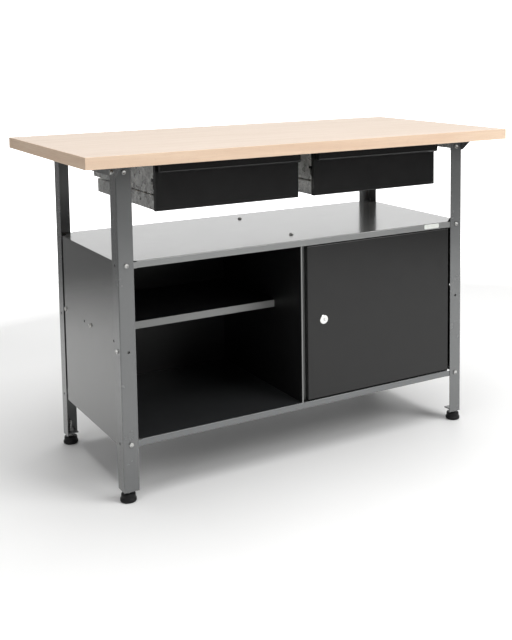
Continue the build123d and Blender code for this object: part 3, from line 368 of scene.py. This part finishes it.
def enamel(name, deep, light, sheen, lacquer, wear=0.04, flakes=0.0, front=None, gleam=0.5):
    """
    Sprayed enamel: two close shades in soft clouds, orange peel, scuffs and thin edges.
    Flakes are its share of metal, and front is a colour painted on the faces that look ahead, so that they
    differ from the rest by painted light and painted shade.
    """
    paint, shader = surface(name, light, sheen, flakes)
    shader.inputs["Specular IOR Level"].default_value = gleam
    shader.inputs["Coat Weight"].default_value = lacquer
    shader.inputs["Coat Roughness"].default_value = 0.12
    here = place(paint, (1, 1, 1))

    clouds = speckle(paint, here, 0.16, 3.0, 0.55)
    body = blend_colours(paint, clouds, deep, light)
    flake = between(paint, speckle(paint, here, 0.0011, 1.0), 0.40, 0.80, 0.0, 0.08)
    body = blend_colours(paint, flake, body, tuple(c * 1.9 for c in light))

    scratches = speckle(paint, place(paint, (9, 9, 1)), 0.05, 5.0, 0.62, 0.6)
    worn = between(paint, scratches, 0.68, 0.80, 0.0, wear)
    body = blend_colours(paint, worn, body, tuple(min(1.0, c * 1.5 + 0.02) for c in light))

    soft_normal = add(paint, "Bevel", {"Radius": 0.0009}, samples=4).outputs["Normal"]
    true_normal = add(paint, "NewGeometry").outputs["Normal"]
    both_normals = {0: soft_normal, 1: true_normal}
    facing = add(paint, "VectorMath", both_normals, operation="DOT_PRODUCT").outputs["Value"]
    edge = between(paint, facing, 0.995, 0.90, 0.0, 0.30)
    body = blend_colours(paint, edge, body, tuple(min(1.0, c * 1.4 + 0.03) for c in light))

    # Faces that look ahead take the front colour, so light and shade are painted by which way a face looks.
    if front:
        ahead = add(paint, "SeparateXYZ", {"Vector": true_normal}).outputs["Y"]
        body = blend_colours(paint, between(paint, ahead, -0.9, -0.6, 1.0, 0.0), body, front)
    feed(paint, body, shader.inputs["Base Color"])

    hands = speckle(paint, here, 0.035, 4.0, 0.6)
    gloss = between(paint, hands, 0.3, 0.72, sheen - 0.02, sheen + 0.03)
    feed(paint, gloss, shader.inputs["Roughness"])
    peel = speckle(paint, here, 0.0022, 2.0, 0.45)
    feed(paint, relief(paint, peel, 0.000014), shader.inputs["Normal"])
    return paint


def coat(material, *nodes):
    """Gives CAD nodes their finish."""
    for name in nodes:
        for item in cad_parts[name].material_slots:
            item.material = material


# The legs' grey is a lighter copy of the panels' enamel: painted light for the light their front faces get.
grey_enamel_painted_light = enamel(
    "grey_enamel_painted_light", (0.146, 0.150, 0.151), (0.168, 0.172, 0.173), sheen=0.25, lacquer=0.6, flakes=0.45
)
coat(grey_enamel_painted_light, *("leg_" + corner for corner in CORNERS))
coat(grey_enamel_painted_light, "crosspiece_right", "crosspiece_left", "rear_rail", "corner_brackets", "foot_brackets")

# ---------------------------------------------------------------------------
# Cabinet: trays, panels, divider and inner shelf folded from 1 mm sheet. The top
# tray is the palest and glossiest, its front faces lighter as painted light; the
# side panels are darker as painted shade, and the bottom tray and the sheets inside
# the bays are painted near black as painted shade, their front faces grey.
# ---------------------------------------------------------------------------

# Its front faces take a lighter grey as painted light.
tray_enamel = enamel(
    "tray_enamel",
    (0.165, 0.168, 0.165),
    (0.185, 0.188, 0.185),
    sheen=0.22,
    lacquer=0.8,
    wear=0.03,
    flakes=0.25,
    front=(0.24, 0.245, 0.242),
)
coat(tray_enamel, "top_tray")

# The side panels' grey is a darker copy of the legs' enamel: painted shade for the light they get from the
# side.
panel_enamel_painted_shade = enamel(
    "panel_enamel_painted_shade", (0.088, 0.090, 0.088), (0.104, 0.106, 0.104), sheen=0.22, lacquer=0.8, flakes=0.45
)
coat(panel_enamel_painted_shade, "side_panel_right", "side_panel_left")

# The bottom tray is painted near black as painted shade for the shade inside the bays; its front faces keep
# a grey.
lower_painted_shade = enamel(
    "lower_tray_painted_shade",
    (0.018, 0.019, 0.020),
    (0.026, 0.027, 0.028),
    sheen=0.30,
    lacquer=0.3,
    front=(0.165, 0.172, 0.174),
)
coat(lower_painted_shade, "bottom_tray")

# The sheets inside the bays are painted near black as painted shade, for the shade that falls inside the
# cabinet.
BAY_PAINTED_SHADE_DEEP = (0.0045, 0.0045, 0.0050)
BAY_PAINTED_SHADE_PALE = (0.0070, 0.0070, 0.0075)
bay_painted_shade = enamel("bay_painted_shade", BAY_PAINTED_SHADE_DEEP, BAY_PAINTED_SHADE_PALE, sheen=0.42, lacquer=0.0)
coat(bay_painted_shade, "back_panel")

# The divider's and shelf's front faces take a light grey: the sheets' own grey brightened as a painted
# highlight on their lit front edges.
trimmed_painted_shade = enamel(
    "trimmed_bay_painted_shade", BAY_PAINTED_SHADE_DEEP, BAY_PAINTED_SHADE_PALE, sheen=0.42, lacquer=0.0, front=(0.26, 0.265, 0.26)
)
coat(trimmed_painted_shade, "divider", "inner_shelf")

LABEL_SIZE = (0.050, 0.0120)
LABEL_THICKNESS = 0.00015
LABEL_ALONG = 0.800
LABEL_BELOW_TOP = 0.0077
LABEL_ROUNDING = 0.003

label_film, label_shader = surface("blank_label_film", (0.72, 0.74, 0.70), 0.3)
fading = speckle(label_film, place(label_film, (1, 1, 1)), 0.008, 3.0)
label_colour = blend_colours(label_film, fading, (0.66, 0.69, 0.64), (0.80, 0.81, 0.78))
feed(label_film, label_colour, label_shader.inputs["Base Color"])
low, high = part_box("top_tray")
label_x = high.x * LABEL_ALONG
label_z = high.z - LABEL_BELOW_TOP
label = bmesh.new()
corner_points = []
for sx, sz, start in ((1, 1, 0), (-1, 1, 90), (-1, -1, 180), (1, -1, 270)):
    for step in range(5):
        angle = math.radians(start + step * 22.5)
        x = label_x + sx * (LABEL_SIZE[0] / 2 - LABEL_ROUNDING) + math.cos(angle) * LABEL_ROUNDING
        z = label_z + sz * (LABEL_SIZE[1] / 2 - LABEL_ROUNDING) + math.sin(angle) * LABEL_ROUNDING
        corner_points.append((x, z))
outer = [label.verts.new((x, low.y - LABEL_THICKNESS, z)) for x, z in corner_points]
inner = [label.verts.new((x, low.y, z)) for x, z in corner_points]
label.faces.new(outer)
label.faces.new(inner[::-1])
for i in range(len(outer)):
    j = (i + 1) % len(outer)
    label.faces.new((outer[i], inner[i], inner[j], outer[j]))
new_piece("blank_label", label, label_film, "bench", "white_nylon")

# ---------------------------------------------------------------------------
# Bolts and nuts: M6, bright zinc plated. The forged hexagon heads have a turned
# chamfer and a dished top, and the shanks a rolled thread of 1 mm. The nuts and
# the wood screws have the same plating.
# ---------------------------------------------------------------------------

M6_RADIUS = 0.0030
M6_ROOT = 0.00262
M6_TIP = 0.0024
M6_PITCH = 0.001
HEAD_STARTS_AT = 0.0038
BOLT_SIDES = 24


def solids_of(node):
    """The separate solids of a CAD node, each as its list of points, in a fixed order."""
    mesh = bmesh.new()
    mesh.from_mesh(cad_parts[node].data)
    bmesh.ops.remove_doubles(mesh, verts=mesh.verts, dist=1e-6)
    mesh.verts.ensure_lookup_table()
    seen = set()
    solids = []
    for first in mesh.verts:
        if first.index in seen:
            continue
        seen.add(first.index)
        waiting = [first]
        points = []
        while waiting:
            vertex = waiting.pop()
            points.append(vertex.co.copy())
            for edge in vertex.link_edges:
                other = edge.other_vert(vertex)
                if other.index not in seen:
                    seen.add(other.index)
                    waiting.append(other)
        solids.append(points)
    mesh.free()
    return solids


def span(points, axis):
    """The lowest and the highest value of some points on an axis."""
    values = [p[axis] for p in points]
    return min(values), max(values)


def middle(points):
    """The middle of the box round some points."""
    return Vector([sum(span(points, axis)) / 2 for axis in range(3)])


def hex_bolts(node, name, body):
    """Detailed bolts in the places of a node's plain ones."""
    mesh = bmesh.new()
    for points in solids_of(node):
        centre = middle(points)
        axis = max(range(3), key=lambda a: span(points, a)[1] - span(points, a)[0])
        low_end, high_end = span(points, axis)
        across = [a for a in range(3) if a != axis]

        def width(p):
            return max(abs(p[a] - centre[a]) for a in across)

        wide = [p for p in points if width(p) > HEAD_STARTS_AT]
        head_low, head_high = span(wide, axis)
        outward = 1 if head_high > high_end - 1e-5 else -1
        flats = min(span(wide, a)[1] - span(wide, a)[0] for a in across)
        head = head_high - head_low
        shank = (high_end - low_end) - head
        direction = Vector([-outward if a == axis else 0 for a in range(3)])
        top = centre.copy()
        top[axis] = high_end if outward > 0 else low_end
        six = hexagonal(flats * 0.999)
        rings = [
            (0.0007, flats * 0.20),
            (0.0002, flats * 0.34),
            (0.0, flats * 0.40),
            (0.0, flats * 0.455),
            (0.0004, capped(six, flats * 0.50)),
            (0.0008, capped(six, flats * 0.54)),
            (0.0013, six),
            (head - 0.0005, six),
            (head - 0.0003, capped(six, flats * 0.48)),
            (head, flats * 0.47),
            (head, M6_RADIUS),
        ]
        threads = int(shank / M6_PITCH)
        for i in range(threads):
            rings.append((head + (i + 0.45) * shank / threads, M6_ROOT))
            rings.append((head + (i + 0.90) * shank / threads, M6_RADIUS))
        rings.append((head + shank, M6_TIP))
        turned(mesh, top, direction, rings, BOLT_SIDES)
    new_piece(name, mesh, bright_zinc, body, "bright_zinc", node)


hex_bolts("frame_bolts", "leg_bolts", "bench")
hex_bolts("cabinet_bolts", "sheet_bolts", "bench")
coat(bright_zinc, "frame_nuts", "cabinet_nuts", "foot_nuts", "tabletop_screws")

# ---------------------------------------------------------------------------
# Door: a folded tray of 1 mm sheet in black enamel, hung on two plated pins in
# black plastic bushes. The lock is a small chromed cam lock with a key slot; its
# nut, cam and screw are zinc plated.
# ---------------------------------------------------------------------------

black_enamel = enamel(
    "black_enamel",
    (0.0040, 0.0040, 0.0039),
    (0.0055, 0.0055, 0.0054),
    sheen=0.22,
    lacquer=0.1,
    wear=0.05,
    gleam=0.40,
)
coat(black_enamel, "door")

chrome, chrome_shader = surface("lock_chrome", (0.80, 0.80, 0.79), 0.12, 1.0)
wipe = speckle(chrome, place(chrome, (1, 1, 1)), 0.003, 4.0, 0.6)
feed(chrome, between(chrome, wipe, 0.3, 0.75, 0.08, 0.24), chrome_shader.inputs["Roughness"])
chrome_colour = blend_colours(chrome, wipe, (0.74, 0.74, 0.74), (0.84, 0.84, 0.82))
feed(chrome, chrome_colour, chrome_shader.inputs["Base Color"])

coat(bright_zinc, "hinge_pins", "lock_nut", "lock_cam", "cam_screw")
coat(pad_plastic, "hinge_bushes")
coat(chrome, "lock_body", "lock_cylinder")

# ---------------------------------------------------------------------------
# Drawers: boxes and casing plates of hot-dip galvanised sheet, whose zinc froze
# in crystals of a finger's width. White nylon rollers turn on riveted axles, and
# the folded fronts are black like the door.
# ---------------------------------------------------------------------------

galvanised, galvanised_shader = surface("galvanised_sheet", (0.50, 0.51, 0.51), 0.38, 0.9)
here = place(galvanised, (1, 1, 1))
wander = add(galvanised, "TexNoise", {"Vector": here, "Scale": 60.0, "Detail": 2.0}).outputs["Color"]
bent = add(galvanised, "Mix", {0: 0.012, 4: here, 5: wander}, data_type="VECTOR").outputs[1]
crystals = add(galvanised, "TexVoronoi", {"Vector": bent, "Scale": 78.0}).outputs["Color"]
shade = add(galvanised, "RGBToBW", {"Color": crystals}).outputs["Val"]
fine = add(galvanised, "TexVoronoi", {"Vector": bent, "Scale": 190.0}).outputs["Color"]
fine_shade = add(galvanised, "RGBToBW", {"Color": fine}).outputs["Val"]
mixed = add(galvanised, "Math", {0: shade, 1: fine_shade}, operation="ADD").outputs["Value"]
paleness = between(galvanised, mixed, 0.5, 1.5, 0.0, 1.0)
zinc_tone = blend_colours(galvanised, paleness, (0.56, 0.56, 0.55), (0.92, 0.92, 0.90))
feed(galvanised, zinc_tone, galvanised_shader.inputs["Base Color"])
feed(galvanised, between(galvanised, shade, 0.2, 0.9, 0.26, 0.52), galvanised_shader.inputs["Roughness"])
feed(galvanised, relief(galvanised, mixed, 0.00004), galvanised_shader.inputs["Normal"])

nylon, nylon_shader = surface("natural_nylon", (0.70, 0.69, 0.64), 0.5)
nylon_shader.inputs["Subsurface Weight"].default_value = 0.12
nylon_shader.inputs["Subsurface Scale"].default_value = 0.002
flow = speckle(nylon, place(nylon, (1, 1, 1)), 0.004, 3.0)
feed(nylon, between(nylon, flow, 0.3, 0.7, 0.42, 0.58), nylon_shader.inputs["Roughness"])
nylon_colour = blend_colours(nylon, flow, (0.62, 0.61, 0.56), (0.76, 0.75, 0.70))
feed(nylon, nylon_colour, nylon_shader.inputs["Base Color"])

for side in ("left", "right"):
    coat(galvanised, "casing_inner_" + side, "casing_outer_" + side, "drawer_box_" + side)
    coat(black_enamel, "drawer_front_" + side)
    coat(nylon, "casing_rollers_" + side, "drawer_rollers_" + side)
    coat(bright_zinc, "drawer_screws_" + side, "drawer_axles_" + side)
coat(bright_zinc, "casing_axles")

# ---------------------------------------------------------------------------
# Tabletop: a 28 mm chipboard panel faced with pale beech decor, the grain along
# the bench, and with brown paper underneath. Glued beech bands close its edges.
# ---------------------------------------------------------------------------


def beech(name, pale, warm, fleck, along, gloss):
    """
    Printed beech: pale and warm bands, fine fibres and short dark flecks.
    Along gives the coordinates with the grain on X, in metres.
    """
    wood, shader = surface(name, pale, gloss)
    grain_vector = along(wood)
    broad = add(wood, "Mapping", {"Vector": grain_vector, "Scale": (0.9, 16, 16)}).outputs["Vector"]
    bands = speckle(wood, broad, 0.55, 4.0, 0.55, 1.2)
    tone = blend_colours(wood, between(wood, bands, 0.34, 0.68, 0.0, 1.0), pale, warm)

    fine = add(wood, "Mapping", {"Vector": grain_vector, "Scale": (1, 46, 46)}).outputs["Vector"]
    fibres = speckle(wood, fine, 0.11, 5.0, 0.65, 0.3)
    fibre_share = between(wood, fibres, 0.35, 0.75, 0.0, 0.45)
    tone = blend_colours(wood, fibre_share, tone, tuple(c * 0.86 for c in warm))

    dashes = add(wood, "Mapping", {"Vector": grain_vector, "Scale": (1, 7.5, 7.5)}).outputs["Vector"]
    pores = add(wood, "TexVoronoi", {"Vector": dashes, "Scale": 230.0, "Randomness": 1.0})
    thin = between(wood, pores.outputs["Distance"], 0.10, 0.24, 1.0, 0.0)
    patches = between(wood, speckle(wood, grain_vector, 0.02, 2.0), 0.42, 0.62, 0.0, 0.85)
    flecks = add(wood, "Math", {0: thin, 1: patches}, operation="MULTIPLY").outputs["Value"]
    tone = blend_colours(wood, flecks, tone, fleck)
    feed(wood, between(wood, fibres, 0.3, 0.75, gloss - 0.05, gloss + 0.08), shader.inputs["Roughness"])
    feed(wood, relief(wood, flecks, -0.00003), shader.inputs["Normal"])
    return wood, shader, tone


def face_grain(wood):
    """The grain of the board runs along X, as the board's own coordinates do."""
    return add(wood, "TexCoord").outputs["Object"]


def edge_grain(wood):
    """The grain runs along each band, so the end bands take their length from Y."""
    where = add(wood, "TexCoord").outputs["Object"]
    parts = add(wood, "SeparateXYZ", {"Vector": where}).outputs
    swapped = add(wood, "CombineXYZ", {"X": parts["Y"], "Y": parts["X"], "Z": parts["Z"]}).outputs["Vector"]
    normal = add(wood, "NewGeometry").outputs["Normal"]
    sideways = add(wood, "SeparateXYZ", {"Vector": normal}).outputs["X"]
    turned_to_x = add(wood, "Math", {0: sideways}, operation="ABSOLUTE").outputs["Value"]
    at_end = add(wood, "Math", {0: turned_to_x, 1: 0.5}, operation="GREATER_THAN").outputs["Value"]
    return add(wood, "Mix", {0: at_end, 4: where, 5: swapped}, data_type="VECTOR").outputs[1]


board, board_shader, board_tone = beech(
    "beech_decor",
    pale=(0.67, 0.555, 0.46),
    warm=(0.60, 0.48, 0.38),
    fleck=(0.42, 0.29, 0.19),
    along=face_grain,
    gloss=0.42,
)
board_normal = add(board, "NewGeometry").outputs["Normal"]
board_height = add(board, "SeparateXYZ", {"Vector": board_normal}).outputs["Z"]
underside = add(board, "Math", {0: board_height, 1: -0.5}, operation="LESS_THAN").outputs["Value"]
fibre_mat = speckle(board, place(board, (1, 1, 1)), 0.003, 4.0, 0.7)
paper = blend_colours(board, fibre_mat, (0.20, 0.145, 0.10), (0.32, 0.24, 0.17))
board_colour = blend_colours(board, underside, board_tone, paper)
feed(board, board_colour, board_shader.inputs["Base Color"])
coat(board, "tabletop")

band, band_shader, band_tone = beech(
    "beech_edge_band",
    pale=(0.88, 0.68, 0.51),
    warm=(0.80, 0.58, 0.42),
    fleck=(0.38, 0.24, 0.15),
    along=edge_grain,
    gloss=0.40,
)
feed(band, band_tone, band_shader.inputs["Base Color"])
coat(band, "edge_bands")
